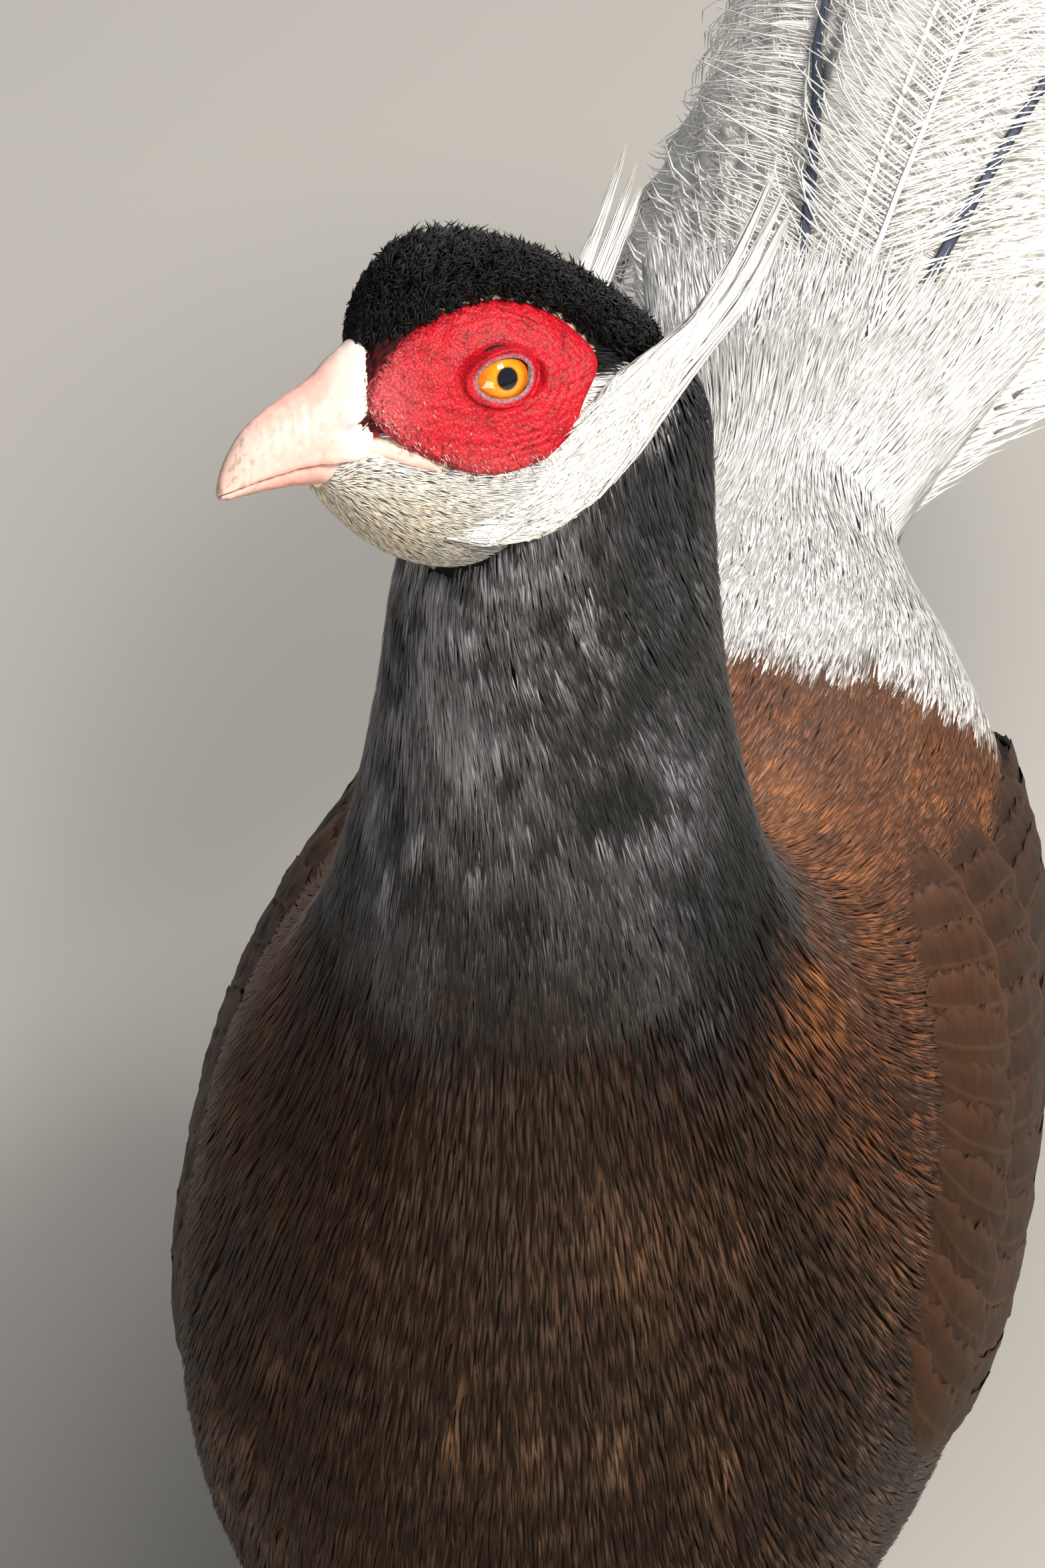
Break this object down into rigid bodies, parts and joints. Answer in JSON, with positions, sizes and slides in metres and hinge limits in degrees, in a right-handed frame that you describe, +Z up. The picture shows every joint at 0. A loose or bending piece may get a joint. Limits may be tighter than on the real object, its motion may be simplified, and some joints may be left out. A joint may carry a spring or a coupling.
{
  "type": "brown eared pheasant model",
  "caption": "Life-size still model of a brown eared pheasant standing with its neck up and its head turned to its right, tail raised in an arch.",
  "frame": {"origin": "on the floor, under the middle of the bounding box", "axes": "+Z up, +Y towards the tail, +X towards the bird's left; the body faces -Y"},
  "size_m": [0.2352, 0.881, 0.5088],
  "materials": {
    "black_feather": "soft velvety black",
    "brown_feather": "soft warm brown",
    "white_feather": "silky white",
    "bare_red_skin": "velvety scarlet",
    "pink_horn": "smooth horn",
    "orange_iris": "clear and wet",
    "red_leg_scale": "scaled",
    "dark_claw": "dull horn"
  },
  "bodies": {
    "root": {"neck": "black_feather", "crown": "black_feather", "torso": "brown_feather", "wing_left": "brown_feather", "wing_right": "brown_feather", "thigh_left": "brown_feather", "thigh_right": "brown_feather", "rump": "white_feather", "tail": "white_feather", "head": "white_feather", "ear_tuft_left": "white_feather", "ear_tuft_right": "white_feather", "face_left": "bare_red_skin", "face_right": "bare_red_skin", "bill_upper": "pink_horn", "bill_lower": "pink_horn", "eye_left": "orange_iris", "eye_right": "orange_iris", "tarsus_left": "red_leg_scale", "tarsus_right": "red_leg_scale", "foot_left": "red_leg_scale", "foot_right": "red_leg_scale", "claw_left_inner": "dark_claw", "claw_left_middle": "dark_claw", "claw_left_outer": "dark_claw", "claw_left_hind": "dark_claw", "claw_right_inner": "dark_claw", "claw_right_middle": "dark_claw", "claw_right_outer": "dark_claw", "claw_right_hind": "dark_claw"}
  },
  "joints": []
}
